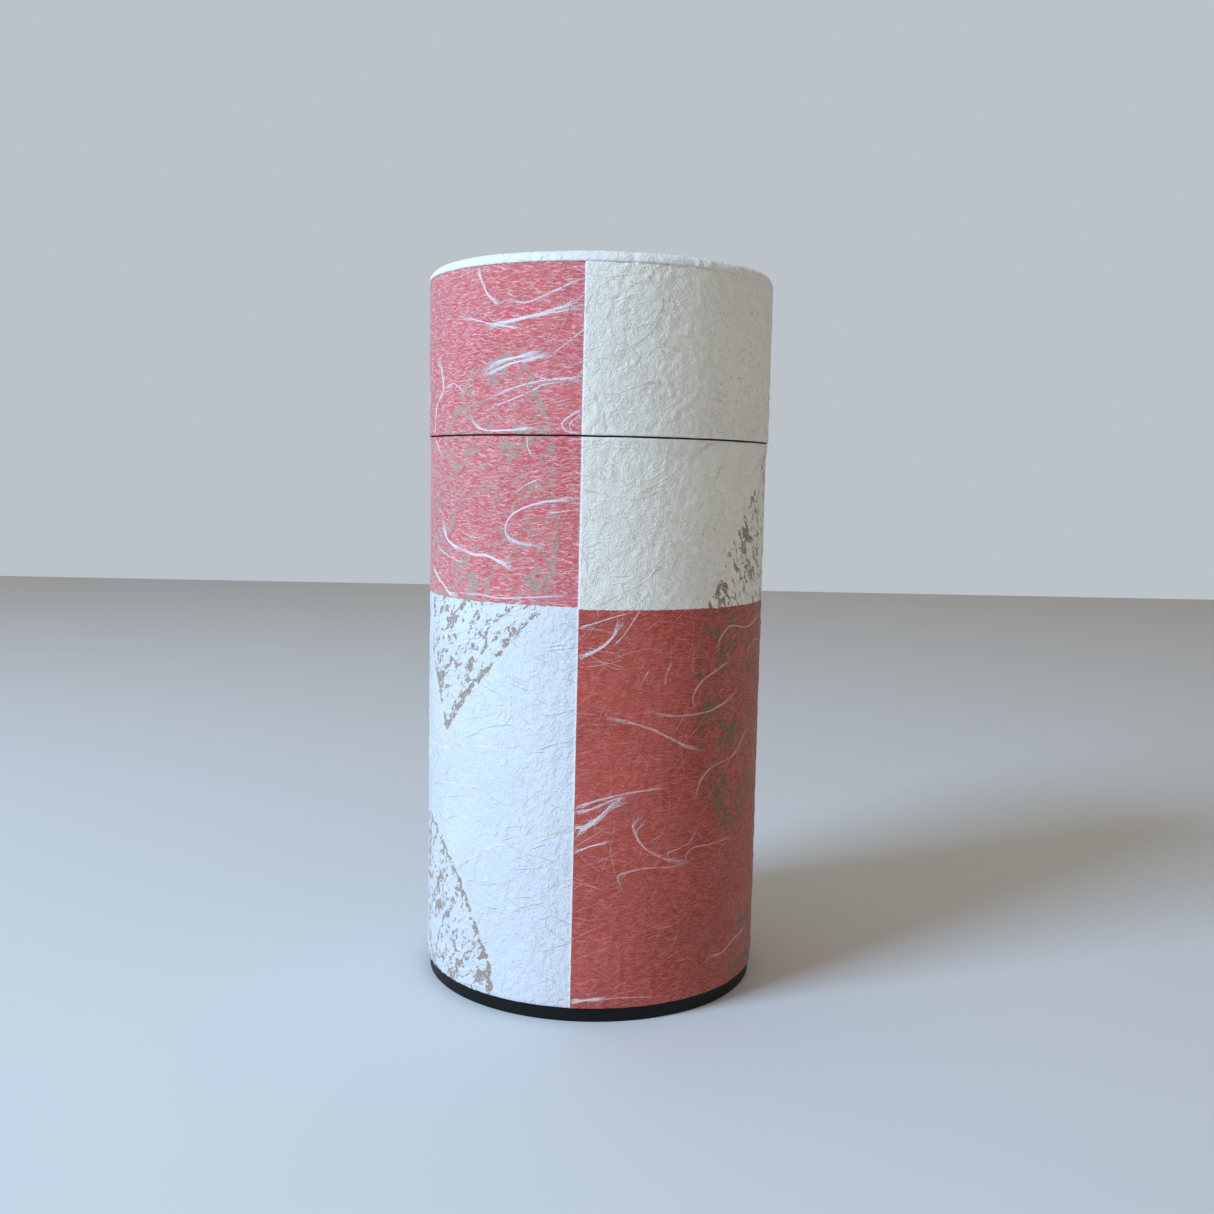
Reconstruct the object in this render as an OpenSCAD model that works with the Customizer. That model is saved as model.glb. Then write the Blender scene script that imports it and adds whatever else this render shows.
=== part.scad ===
// Paper-covered tea canister: a tin can inside a tin sleeve, a slip-on lid
// and a lift-out inner lid, wrapped in washi paper.
// The origin is the centre of the foot's underside, and +Z points up.

/* [Body] */
// Diameter of the body over its paper
body_d = 80; // [64:0.5:100]
// Height of the body from the table to its top edge
body_h = 128.2; // [90:0.1:170]
// How far the body's hemmed top edge stands out
body_flare = 0.55; // [0:0.05:0.8]
// Height of the band over which the body's top edge stands out
body_flare_h = 4.5; // [2:0.5:8]
// Height of the hem folded in at the neck's mouth
mouth_hem_h = 3; // [1.5:0.5:6]

/* [Foot] */
// Height of the black foot that shows below the paper
foot_h = 3.3; // [2.7:0.1:6]
// How far the foot stands in from the paper
foot_inset = 0.55; // [0.5:0.05:1]
// Width of the foot ring
foot_w = 1.7; // [1.4:0.1:4]
// Radius of the foot's rounded lower edges
foot_edge_r = 0.45; // [0.1:0.05:0.6]
// Height of the base panel's underside above the table
base_recess = 2.1; // [1.2:0.1:2.2]
// How far the base cap reaches up inside the can
spigot_h = 5; // [3:0.5:10]
// Width of the base panel's lower border around its raised middle
base_border_w = 9; // [4:0.5:16]
// Height of the raised middle of the base panel
base_step_h = 0.6; // [0.2:0.1:1]

/* [Lid] */
// Height of the lid from its lower edge to its top
lid_h = 38.5; // [32:0.1:60]
// How much further out the lid's paper stands than the body's
lid_overhang = 0.43; // [0.2:0.01:1]
// Radius of the lid's shoulder over its paper
shoulder_r = 2.3; // [1.5:0.1:5]
// How far the top paper runs down below the shoulder
top_paper_hem = 0.1; // [0.1:0.1:4]
// How far the lid's lower edge curls out
lid_flare = 0.27; // [0:0.01:0.6]
// Height of the band over which the lid's lower edge curls out
lid_flare_h = 2.2; // [1:0.1:6]
// Depth of the top plate's skirt inside the lid
lid_skirt_h = 6; // [3:0.5:9]

/* [Inner lid] */
// Depth of the inner lid's dish below its rim
dish_depth = 7; // [4:0.5:12]
// Height of the inner lid's rolled rim
rim_h = 1.2; // [0.8:0.1:2]
// How far the rim stands in from the outside of the neck
rim_inset = 0.1; // [0.05:0.05:0.5]
// Radius of the corner between the dish's wall and its floor
dish_corner_r = 1.6; // [0.8:0.1:3]
// Distance of the pressed ring from the dish's wall
dish_ring_inset = 10; // [4:0.5:14]
// Width of the pressed ring in the dish
dish_ring_w = 3; // [2:0.5:5]
// Height of the pressed ring in the dish
dish_ring_h = 0.6; // [0.3:0.1:1]

/* [Knob] */
// Height of the knob
knob_h = 12; // [8:0.5:16]
// Diameter of the knob's head
knob_d = 17; // [12:0.5:24]
// Radius of the lip around the knob's head
knob_lip_r = 1.4; // [0.5:0.1:1.6]
// Height of the underside of the knob's head above its foot
knob_grip_h = 4.6; // [3:0.1:4.8]
// Diameter of the knob's waist
waist_d = 8; // [6.5:0.5:10]
// Diameter of the knob's foot
knob_foot_d = 11; // [10:0.5:14]
// Height of the knob's foot
knob_foot_h = 0.8; // [0.4:0.1:1.5]
// Diameter of the rivet's shank
rivet_d = 3; // [2:0.1:4]
// Diameter of the rivet's head
rivet_head_d = 6; // [4.5:0.1:8]
// Height of the rivet's head
rivet_head_h = 1.1; // [0.6:0.1:2]
// Depth of the rivet's hole in the knob
rivet_hole_h = 7; // [4:0.5:7]
// Diameter of the washer under the inner lid
washer_d = 9.5; // [7:0.1:14]
// Thickness of the washer
washer_t = 0.6; // [0.4:0.1:1.2]

/* [Sheet] */
// Thickness of the tinplate
tin_t = 0.3; // [0.2:0.01:0.36]
// Thickness of the paper on its lining
paper_t = 0.4; // [0.2:0.05:0.5]

/* [Clearances] */
// Gap that the closed lid leaves above the body
seam_gap = 0.35; // [0.2:0.05:1]
// Gap between pieces that are glued or pressed together
glue_gap = 0.05; // [0.02:0.01:0.1]
// Gap between the lid and the neck that it slides over
slip_gap = 0.12; // [0.08:0.01:0.2]
// Gap between the inner lid and the mouth that it drops into
dish_gap = 0.15; // [0.08:0.01:0.3]
// Gap around the rivet's shank
rivet_gap = 0.05; // [0.02:0.01:0.1]
// Free height between the knob and the lid's ceiling
knob_headroom = 7; // [3:0.5:12]
// Free height between the inner lid's rim and the lid's skirt
rim_headroom = 1; // [0.5:0.1:5]

/* [Hidden] */
$fn = 128;
flare_steps = 6;
arc_steps = 10;
tin_colour = "#b4b6b8";
black_colour = "#161616";
white_paper = "#e6e2d8";
red_paper = "#c9585c";

// Body radii, from the outside in
body_r = body_d / 2;
sleeve_ro = body_r - paper_t - glue_gap;
sleeve_ri = sleeve_ro - tin_t;
can_ro = sleeve_ri - glue_gap;
can_ri = can_ro - tin_t;
spigot_ro = can_ri - glue_gap;
spigot_ri = spigot_ro - tin_t;
floor_ro = spigot_ri - glue_gap;
floor_ri = floor_ro - tin_t;
foot_ro = body_r - foot_inset;
foot_ri = foot_ro - foot_w;
base_step_r = foot_ri - base_border_w;

// Lid radii, from the outside in
lid_r = body_r + lid_overhang;
lid_tin_ro = lid_r - paper_t - glue_gap;
lid_tin_ri = lid_tin_ro - tin_t;
skirt_ro = lid_tin_ri - glue_gap;
skirt_ri = skirt_ro - tin_t;
neck_ro = lid_tin_ri - slip_gap;
neck_ri = neck_ro - tin_t;
mouth_ri = neck_ri - tin_t;

// Heights
base_top = base_recess + tin_t;
floor_z = base_top + base_step_h + glue_gap;
spigot_top = foot_h + spigot_h;
lid_z = body_h + seam_gap;
lid_top = lid_z + lid_h;
plate_top = lid_top - paper_t - glue_gap;
ceiling_z = plate_top - tin_t;
shoulder_z = lid_top - shoulder_r;
paper_joint_z = shoulder_z - top_paper_hem;
skirt_z = shoulder_z - lid_skirt_h;
plate_r = shoulder_r - paper_t - glue_gap;
plate_in_r = max(plate_r - tin_t, 0.1);

// The neck ends where the knob or the rim would first meet the lid
knob_rise = knob_h + tin_t - dish_depth;
neck_top = min(ceiling_z - knob_headroom - knob_rise,
               skirt_z - rim_headroom - rim_h);

// Inner lid
dish_ro = mouth_ri - dish_gap;
dish_ri = dish_ro - tin_t;
dish_z = neck_top - dish_depth;
dish_top = dish_z + tin_t;
rim_ro = neck_ro - rim_inset;
ring_out = dish_ro - dish_ring_inset;
ring_in = ring_out - dish_ring_w;
hole_r = rivet_d / 2 + rivet_gap;

// Points up a wall that stands out towards an edge at z_edge. way is 1 for an edge at the
// top and -1 for one at the bottom, and the points run towards the edge.
function flare(r, z_edge, way, out, h) =
    [for (i = [0 : flare_steps]) let (u = i / flare_steps)
        [r + out * u * u, z_edge - way * h * (1 - u)]];

// Points on a quarter circle about (x, z), from angle a to angle b
function arc(x, z, r, a, b) =
    [for (i = [0 : arc_steps]) let (t = a + (b - a) * i / arc_steps)
        [x + r * cos(t), z + r * sin(t)]];

function backwards(list) = [for (i = [len(list) - 1 : -1 : 0]) list[i]];

// A turned shell between an inner and an outer line, both given from the bottom up
module shell(inner, outer) {
    rotate_extrude() polygon(concat(outer, backwards(inner)));
}

// Black pressed cap that closes the base: foot ring, stepped panel and spigot
module base_cap() {
    color(black_colour)
    rotate_extrude() polygon(concat(
        [[0, base_recess + base_step_h],
         [base_step_r - base_step_h, base_recess + base_step_h],
         [base_step_r, base_recess], [foot_ri, base_recess]],
        arc(foot_ri + foot_edge_r, foot_edge_r, foot_edge_r, 180, 270),
        arc(foot_ro - foot_edge_r, foot_edge_r, foot_edge_r, 270, 360),
        [[foot_ro, foot_h], [spigot_ro, foot_h], [spigot_ro, spigot_top],
         [spigot_ri, spigot_top], [spigot_ri, base_top], [base_step_r, base_top],
         [base_step_r - base_step_h, base_top + base_step_h],
         [0, base_top + base_step_h]]));
}

// Tin pan inside the base cap that closes the tea space
module inner_can_floor() {
    color(tin_colour)
    rotate_extrude() polygon([
        [0, floor_z], [floor_ro, floor_z], [floor_ro, spigot_top], [floor_ri, spigot_top],
        [floor_ri, floor_z + tin_t], [0, floor_z + tin_t]]);
}

// Inner tube. It steps out over the sleeve's edge to make the neck, and its mouth is hemmed.
module inner_can_wall() {
    color(tin_colour)
    rotate_extrude() polygon(concat(
        [[can_ri, foot_h], [can_ro, foot_h], [can_ro, body_h], [neck_ro, body_h]],
        arc(neck_ro - tin_t, neck_top - tin_t, tin_t, 0, 90),
        arc(mouth_ri + tin_t, neck_top - tin_t, tin_t, 90, 180),
        [[mouth_ri, neck_top - mouth_hem_h], [neck_ri, neck_top - mouth_hem_h - tin_t],
         [neck_ri, body_h + tin_t], [can_ri, body_h - tin_t]]));
}

// Outer tube. Its top edge is folded out on itself, which makes the flare.
module outer_sleeve() {
    color(tin_colour)
    shell([[sleeve_ri, foot_h], [sleeve_ri, body_h]],
          concat([[sleeve_ro, foot_h]],
                 flare(sleeve_ro, body_h, 1, body_flare, body_flare_h)));
}

// Paper around the body
module body_washi() {
    color(red_paper)
    shell(concat([[sleeve_ro + glue_gap, foot_h]],
                 flare(sleeve_ro + glue_gap, body_h, 1, body_flare, body_flare_h)),
          concat([[body_r, foot_h]], flare(body_r, body_h, 1, body_flare, body_flare_h)));
}

// Lid tube with its hemmed lower edge
module lid_wall() {
    color(tin_colour)
    shell([[lid_tin_ri, lid_z], [lid_tin_ri, shoulder_z]],
          concat(backwards(flare(lid_tin_ro, lid_z, -1, lid_flare, lid_flare_h)),
                 [[lid_tin_ro, shoulder_z]]));
}

// Pressed top plate with a rounded shoulder and a skirt inside the lid tube
module lid_top_plate() {
    color(tin_colour)
    rotate_extrude() polygon(concat(
        [[skirt_ri, skirt_z], [skirt_ro, skirt_z], [skirt_ro, shoulder_z]],
        arc(lid_tin_ro - plate_r, shoulder_z, plate_r, 0, 90),
        [[0, plate_top], [0, ceiling_z]],
        arc(skirt_ri - plate_in_r, ceiling_z - plate_in_r, plate_in_r, 90, 0)));
}

// Paper around the lid's side
module lid_side_washi() {
    color(red_paper)
    shell(concat(backwards(flare(lid_tin_ro + glue_gap, lid_z, -1, lid_flare, lid_flare_h)),
                 [[lid_tin_ro + glue_gap, paper_joint_z - glue_gap]]),
          concat(backwards(flare(lid_r, lid_z, -1, lid_flare, lid_flare_h)),
                 [[lid_r, paper_joint_z - glue_gap]]));
}

// Round paper on the lid's top, turned down over the shoulder
module lid_top_washi() {
    color(white_paper)
    rotate_extrude() polygon(concat(
        [[lid_r - paper_t, paper_joint_z], [lid_r, paper_joint_z]],
        arc(lid_r - shoulder_r, shoulder_z, shoulder_r, 0, 90),
        [[0, lid_top], [0, lid_top - paper_t]],
        arc(lid_r - shoulder_r, shoulder_z, shoulder_r - paper_t, 90, 0)));
}

// Pressed dish of the inner lid: rolled rim, wall, floor with a pressed ring, rivet hole
module inner_lid_dish() {
    corner_in = dish_corner_r - tin_t;
    color(tin_colour)
    rotate_extrude() polygon(concat(
        [[hole_r, dish_z], [ring_in, dish_z], [ring_in + dish_ring_h, dish_z + dish_ring_h],
         [ring_out - dish_ring_h, dish_z + dish_ring_h], [ring_out, dish_z]],
        arc(dish_ro - dish_corner_r, dish_z + dish_corner_r, dish_corner_r, 270, 360),
        [[dish_ro, neck_top]],
        arc(rim_ro - rim_h / 2, neck_top + rim_h / 2, rim_h / 2, 270, 450),
        [[dish_ri, neck_top + rim_h]],
        arc(dish_ri - corner_in, dish_top + corner_in, corner_in, 360, 270),
        [[ring_out, dish_top], [ring_out - dish_ring_h, dish_top + dish_ring_h],
         [ring_in + dish_ring_h, dish_top + dish_ring_h], [ring_in, dish_top],
         [hole_r, dish_top]]));
}

// Turned knob: foot, waist and domed head, with a blind hole for the rivet
module knob() {
    foot_top = dish_top + knob_foot_h;
    head_z = foot_top + knob_grip_h + knob_lip_r;
    head_r = knob_d / 2;
    dome_h = dish_top + knob_h - head_z;
    color(tin_colour)
    rotate_extrude() polygon(concat(
        [[0, dish_top + rivet_hole_h], [hole_r, dish_top + rivet_hole_h],
         [hole_r, dish_top], [knob_foot_d / 2, dish_top],
         [knob_foot_d / 2, foot_top]],
        [for (i = [1 : arc_steps]) let (u = i / arc_steps)
            [(waist_d + (knob_foot_d - waist_d) * pow(1 - u, 2)) / 2,
             foot_top + knob_grip_h * u]],
        arc(head_r - knob_lip_r, head_z, knob_lip_r, 270, 360),
        [for (i = [1 : arc_steps]) let (t = 90 * i / arc_steps)
            [head_r * cos(t), head_z + dome_h * sin(t)]]));
}

// Washer between the rivet's head and the inner lid
module knob_washer() {
    color(tin_colour)
    translate([0, 0, dish_z - washer_t])
    difference() {
        cylinder(d = washer_d, h = washer_t);
        translate([0, 0, -washer_t]) cylinder(r = hole_r, h = 3 * washer_t);
    }
}

// Rivet that holds the knob from below
module knob_rivet() {
    head_top = dish_z - washer_t;
    shank_top = dish_top + rivet_hole_h - rivet_gap;
    color(tin_colour)
    rotate_extrude() polygon(concat(
        [for (i = [0 : arc_steps]) let (t = 90 * i / arc_steps)
            [rivet_head_d / 2 * sin(t), head_top - rivet_head_h * cos(t)]],
        [[rivet_d / 2, head_top], [rivet_d / 2, shank_top], [0, shank_top]]));
}

base_cap();
inner_can_floor();
inner_can_wall();
outer_sleeve();
body_washi();
lid_wall();
lid_top_plate();
lid_side_washi();
lid_top_washi();
inner_lid_dish();
knob();
knob_washer();
knob_rivet();
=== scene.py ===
import bpy
import math
import random
from mathutils import Matrix, Vector


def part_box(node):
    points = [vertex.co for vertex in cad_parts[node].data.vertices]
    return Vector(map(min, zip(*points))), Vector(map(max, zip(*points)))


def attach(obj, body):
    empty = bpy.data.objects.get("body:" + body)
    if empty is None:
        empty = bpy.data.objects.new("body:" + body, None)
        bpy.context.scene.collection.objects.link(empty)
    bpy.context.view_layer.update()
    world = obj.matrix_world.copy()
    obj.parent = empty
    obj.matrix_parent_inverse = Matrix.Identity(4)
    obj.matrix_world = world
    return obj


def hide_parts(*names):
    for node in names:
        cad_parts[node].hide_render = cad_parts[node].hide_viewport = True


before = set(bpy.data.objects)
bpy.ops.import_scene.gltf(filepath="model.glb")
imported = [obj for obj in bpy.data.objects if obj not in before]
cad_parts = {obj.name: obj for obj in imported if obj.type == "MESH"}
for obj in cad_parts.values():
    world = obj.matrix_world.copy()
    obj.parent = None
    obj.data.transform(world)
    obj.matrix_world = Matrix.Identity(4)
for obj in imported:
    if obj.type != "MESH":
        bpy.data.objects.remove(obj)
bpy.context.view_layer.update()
mm = 0.001
print("frame loaded")


class Wire:
    # One output socket; the operators add Math nodes, so node maths reads as plain sums
    def __init__(self, graph, socket):
        self.graph = graph
        self.socket = socket

    def __add__(self, other):
        return self.graph.math("ADD", self, other)

    def __radd__(self, other):
        return self.graph.math("ADD", other, self)

    def __sub__(self, other):
        return self.graph.math("SUBTRACT", self, other)

    def __rsub__(self, other):
        return self.graph.math("SUBTRACT", other, self)

    def __mul__(self, other):
        return self.graph.math("MULTIPLY", self, other)

    def __rmul__(self, other):
        return self.graph.math("MULTIPLY", other, self)

    def __truediv__(self, other):
        return self.graph.math("DIVIDE", self, other)

    def __rtruediv__(self, other):
        return self.graph.math("DIVIDE", other, self)

    def __pow__(self, other):
        return self.graph.math("POWER", self, other)

    def __neg__(self):
        return self.graph.math("MULTIPLY", self, -1)

    def __abs__(self):
        return self.graph.math("ABSOLUTE", self)

    def __gt__(self, other):
        return self.graph.math("GREATER_THAN", self, other)

    def __lt__(self, other):
        return self.graph.math("LESS_THAN", self, other)


class Graph:
    def __init__(self, tree):
        self.tree = tree

    def feed(self, socket, value):
        if isinstance(value, Wire):
            self.tree.links.new(value.socket, socket)
        else:
            socket.default_value = value

    # Adds any node: its type, its settings first, then the values or links of its sockets
    def add(self, kind, settings=None, inputs=None, output=0):
        node = self.tree.nodes.new(kind)
        for name, value in (settings or {}).items():
            setattr(node, name, value)
        for key, value in (inputs or {}).items():
            self.feed(node.inputs[key], value)
        return Wire(self, node.outputs[output])

    def math(self, operation, *values):
        return self.add("ShaderNodeMath", {"operation": operation}, dict(enumerate(values)))

    def low(self, a, b):
        return self.math("MINIMUM", a, b)

    def high(self, a, b):
        return self.math("MAXIMUM", a, b)

    def rise(self, value, start, end):
        return self.add("ShaderNodeMapRange", {"interpolation_type": "SMOOTHSTEP"},
                        {"Value": value, "From Min": start, "From Max": end})

    def clamp(self, value):
        return self.add("ShaderNodeClamp", {}, {"Value": value})

    def vector(self, x=0.0, y=0.0, z=0.0):
        return self.add("ShaderNodeCombineXYZ", {}, {0: x, 1: y, 2: z})

    def split(self, vector):
        first = self.add("ShaderNodeSeparateXYZ", {}, {0: vector})
        outputs = first.socket.node.outputs
        return [Wire(self, outputs[i]) for i in range(3)]

    def vectorMath(self, operation, a, b=None, scale=None):
        inputs = {0: a}
        if b is not None:
            inputs[1] = b
        if scale is not None:
            inputs["Scale"] = scale
        return self.add("ShaderNodeVectorMath", {"operation": operation}, inputs)

    def noise(self, vector, scale, detail=2.0, roughness=0.5, distortion=0.0, colour=False):
        return self.add("ShaderNodeTexNoise", {}, {
            "Vector": vector, "Scale": scale, "Detail": detail,
            "Roughness": roughness, "Distortion": distortion}, 1 if colour else 0)

    def cellEdge(self, vector, scale):
        return self.add("ShaderNodeTexVoronoi", {"feature": "DISTANCE_TO_EDGE"},
                        {"Vector": vector, "Scale": scale})

    def mix(self, factor, a, b):
        return self.add("ShaderNodeMix", {"data_type": "RGBA"}, {0: factor, 6: a, 7: b}, 2)

    def bump(self, height, strength, distance):
        return self.add("ShaderNodeBump", {}, {
            "Height": height, "Strength": strength, "Distance": distance})


def rgb(red, green, blue):
    return (red, green, blue, 1.0)


bodyLow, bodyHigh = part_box("body_washi")
lidLow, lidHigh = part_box("lid_side_washi")
topLow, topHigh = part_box("lid_top_washi")

sheet = {
    "pitch": 40 * mm,        # radius at which the pattern is measured along the paper
    "thickness": 0.4 * mm,
    "edge": 0.06 * mm,       # softening of the cut edges
    "relief": 1.0,           # 1 is the natural depth of the creping
    "lapAtFoot": -4.1 * mm,  # where the paper's end lies over its start, at the foot
    "lapLean": 0.0043,       # how far the lap leans for each metre of height
    "lapStep": 0.16 * mm,
    "lapFade": 5 * mm,       # length over which the upper end sinks back to the wall
    "lapSliver": 0.02 * mm,  # width left for the lap's cut end
    "tuck": 0.18 * mm,       # how far the creping sinks at flared edges, to keep them in size
    "waver": 0.35 * mm,      # how far the cut edges wander up and down
    "waverReach": 2 * mm,
    "backRows": 10,          # rows of the unseen back, closest where it flares
    "weld": 0.002 * mm,
}
creping = {
    "warpScale": 0.11, "warpReach": 9.0,
    "grainScale": 0.55, "grain": 0.62,      # scales are per mm, heights in mm
    "swellScale": 0.09, "swell": 0.22,
    "ridgeScale": 0.13, "ridge": 0.09, "ridgeWidth": 0.07,
}
bodySheet = {
    "Radius": 40 * mm, "Low": bodyLow[2], "High": bodyHigh[2],
    "Flare top": 0.55 * mm, "Flare bottom": 0.0, "Flare height": 4.5 * mm,
    "Columns": 541, "Rows": 180,
}
lidSheet = {
    "Radius": 40.43 * mm, "Low": lidLow[2] + 0.06 * mm, "High": lidHigh[2],
    "Flare top": 0.0, "Flare bottom": 0.27 * mm, "Flare height": 2.2 * mm,
    "Columns": 641, "Rows": 92,
}
topSheet = {
    "Radius": 40.43 * mm, "Top": topHigh[2], "Shoulder": 2.3 * mm, "Hem": 0.25 * mm,
    "Columns": 420, "Rings": 110,
}
topFinish = {
    "backRings": 9,
    "relief": 0.7,           # the top paper is stretched smoother than the side
    "pleat": 0.22 * mm, "pleatScale": 9, "pleatNoise": 1.6,
    "rimLift": 0.05, "flatSink": 0.2,       # mm
}


def crepe(g, point):
    # Height of the creped paper at a point of the smooth wall, shared by the sheets and by
    # the fibres that lie on them
    place = g.vectorMath("SCALE", point, scale=1000.0)
    drift = g.noise(place, creping["warpScale"], 1.0, colour=True)
    warp = g.vectorMath("SCALE", drift, scale=creping["warpReach"])
    grain = g.noise(place, creping["grainScale"], 2.5, 0.6, 0.6) - 0.5
    swell = g.noise(place, creping["swellScale"], 1.0) - 0.5
    fold = g.cellEdge(g.vectorMath("ADD", place, warp), creping["ridgeScale"])
    ridge = 1 - g.rise(fold, 0.0, creping["ridgeWidth"])
    return (grain * creping["grain"] + swell * creping["swell"]
            + ridge * creping["ridge"]) * mm


def lapArc(z):
    # Where the lap lies at height z
    return sheet["lapAtFoot"] + z * sheet["lapLean"]


def wallPoint(g, sizes, arc, z, lift, pastLap, atClose=0.0, rough=1.0):
    # A point on the papered wall: arc runs round it, z up it and lift out from it. rough is
    # 0 on the plain back of the sheet
    angle = arc / sheet["pitch"]
    sine = g.math("SINE", angle)
    cosine = g.math("COSINE", angle)
    radius = sizes["Radius"]
    smooth = g.vector(radius * sine, -(radius * cosine), z)
    topRun = g.clamp((z - sizes["High"] + sizes["Flare height"]) / sizes["Flare height"])
    lowRun = g.clamp((sizes["Low"] + sizes["Flare height"] - z) / sizes["Flare height"])
    flare = topRun * topRun * sizes["Flare top"] + lowRun * lowRun * sizes["Flare bottom"]
    onTop = g.high((pastLap > 0) * g.math("EXPONENT", -(pastLap / sheet["lapFade"])), atClose)
    tucked = (topRun * topRun + lowRun * lowRun) * sheet["tuck"]
    out = radius + flare + lift + rough * (crepe(g, smooth) * sizes["Relief"] - tucked
                                           + onTop * sheet["lapStep"])
    return g.vector(out * sine, -(out * cosine), z)


def newTree(name, sizes, takesGeometry=False):
    # A tree with one named input for each size, and wires for them
    tree = bpy.data.node_groups.new(name, "GeometryNodeTree")
    face = tree.interface
    face.new_socket("Geometry", in_out="OUTPUT", socket_type="NodeSocketGeometry")
    if takesGeometry:
        face.new_socket("Geometry", in_out="INPUT", socket_type="NodeSocketGeometry")
    for key, value in sizes.items():
        kind = "NodeSocketInt" if isinstance(value, int) else "NodeSocketFloat"
        face.new_socket(key, in_out="INPUT", socket_type=kind)
    face.new_socket("Material", in_out="INPUT", socket_type="NodeSocketMaterial")
    g = Graph(tree)
    entry = tree.nodes.new("NodeGroupInput")
    wires = {item.name: Wire(g, item) for item in entry.outputs if item.name}
    return tree, g, wires


def closeTree(g, geometry, material):
    joined = g.add("GeometryNodeRealizeInstances", {}, {0: geometry})
    smooth = g.add("GeometryNodeSetShadeSmooth", {}, {0: joined})
    done = g.add("GeometryNodeSetMaterial", {}, {0: smooth, "Material": material})
    exitNode = g.tree.nodes.new("NodeGroupOutput")
    g.tree.links.new(done.socket, exitNode.inputs[0])


def gridRowsAndColumns(g, columns, rows):
    grid = g.add("GeometryNodeMeshGrid", {}, {
        "Size X": 1.0, "Size Y": 1.0, "Vertices X": columns, "Vertices Y": rows})
    x, y, flatZ = g.split(g.add("GeometryNodeInputPosition"))
    column = g.math("ROUND", (x + 0.5) * (columns - 1))
    row = g.math("ROUND", (y + 0.5) * (rows - 1))
    return grid, column, row


def placed(g, grid, place):
    moved = g.add("GeometryNodeSetPosition", {}, {0: grid, "Position": place})
    return g.add("GeometryNodeMergeByDistance", {}, {0: moved, "Distance": sheet["weld"]})


def sideSheetTree():
    tree, g, size = newTree("washiSideSheet", {**bodySheet, "Relief": 1.0, "Thickness": 1.0})
    grid, column, row = gridRowsAndColumns(g, size["Columns"], size["Rows"])
    lastColumn = size["Columns"] - 1
    backRows = sheet["backRows"]
    lastOuter = size["Rows"] - backRows - 1     # rows 1 to lastOuter are the face
    turn = 2 * math.pi * sheet["pitch"]
    sliver = sheet["lapSliver"]
    atClose = column > lastColumn - 0.5
    along = g.low(column / (lastColumn - 1), 1.0) * (turn - sliver) + atClose * sliver
    inside = (row < 0.5) + (row > lastOuter + 0.5)
    corner = (abs(row - 1) < 0.5) + (abs(row - lastOuter) < 0.5)
    climb = g.clamp((row - 2) / (lastOuter - 3))
    edge = sheet["edge"]
    height = size["High"] - size["Low"]
    angle = along / sheet["pitch"]
    waver = g.noise(g.vector(g.math("SINE", angle), g.math("COSINE", angle), size["Low"] * 90),
                    7.0, 3.0, 0.6) - 0.5
    z = size["Low"] + edge + climb * (height - 2 * edge) - edge * (row < 1.5)
    z = z + edge * (row > lastOuter - 0.5)
    # The back's rows lie closest where it flares
    z = z - g.clamp((row - lastOuter - 1) / (backRows - 1)) ** 3 * height
    reach = sheet["waverReach"]
    nearEdge = (g.rise(z, size["Low"] + reach, size["Low"])
                + g.rise(z, size["High"] - reach, size["High"]))
    z = z + waver * sheet["waver"] * (1 - inside) * nearEdge
    arc = lapArc(z) + along
    lift = -(inside * size["Thickness"]) - corner * edge
    place = wallPoint(g, size, arc, z, lift, along + 1e-7, atClose, 1 - inside)
    closeTree(g, placed(g, grid, place), size["Material"])
    return tree


def topSheetTree():
    tree, g, size = newTree("washiTopSheet", {**topSheet, "Relief": 1.0, "Thickness": 1.0})
    backRings = topFinish["backRings"]
    rows = size["Rings"] + backRings
    grid, column, row = gridRowsAndColumns(g, size["Columns"], rows)
    angle = column / (size["Columns"] - 1) * (2 * math.pi)
    flat = size["Radius"] - size["Shoulder"]
    bend = size["Shoulder"] * (math.pi / 2)
    length = flat + bend + size["Hem"]
    # The path runs out over the face, then back under it in a few rings
    outward = g.clamp(row / (size["Rings"] - 1))
    inward = g.clamp((row - size["Rings"]) / (backRings - 1))
    back = row > size["Rings"] - 0.5
    run = (outward - (inward ** 0.25) * back) * length
    turned = g.clamp((run - flat) / bend) * (math.pi / 2)
    sine = g.math("SINE", turned)
    cosine = g.math("COSINE", turned)
    down = size["Shoulder"] * (1 - cosine) + g.high(run - flat - bend, 0.0)
    out = g.low(run, flat) + size["Shoulder"] * sine
    smooth = g.vector(out * g.math("SINE", angle), -(out * g.math("COSINE", angle)),
                      size["Top"] - down)
    spread = topFinish["pleatScale"]
    pleatPlace = g.vector(g.math("SINE", angle) * spread, g.math("COSINE", angle) * spread)
    pleat = g.noise(pleatPlace, topFinish["pleatNoise"], 2.0)
    pleats = (g.rise(pleat, 0.54, 0.64) * sine) * -topFinish["pleat"]
    lift = (1 - back) * (crepe(g, smooth) * size["Relief"] * topFinish["relief"] + pleats
                         + (topFinish["rimLift"] - cosine * topFinish["flatSink"]) * mm)
    lift = lift - back * size["Thickness"]
    out = out + lift * sine
    place = g.vector(out * g.math("SINE", angle), -(out * g.math("COSINE", angle)),
                     size["Top"] - down + lift * cosine)
    flipped = g.add("GeometryNodeFlipFaces", {}, {0: placed(g, grid, place)})
    closeTree(g, flipped, size["Material"])
    return tree


fibreShape = {
    "splay": 1.6,            # how much further filaments stray at a strand's ends
    "thinEnds": 0.8,
    "flatten": 0.15,         # straying out from the paper, against straying along it
    "sides": 4,
    "proud": 0.02 * mm,
    "margin": 0.05 * mm,     # fibres are cut this far inside the paper's edges
}


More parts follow.
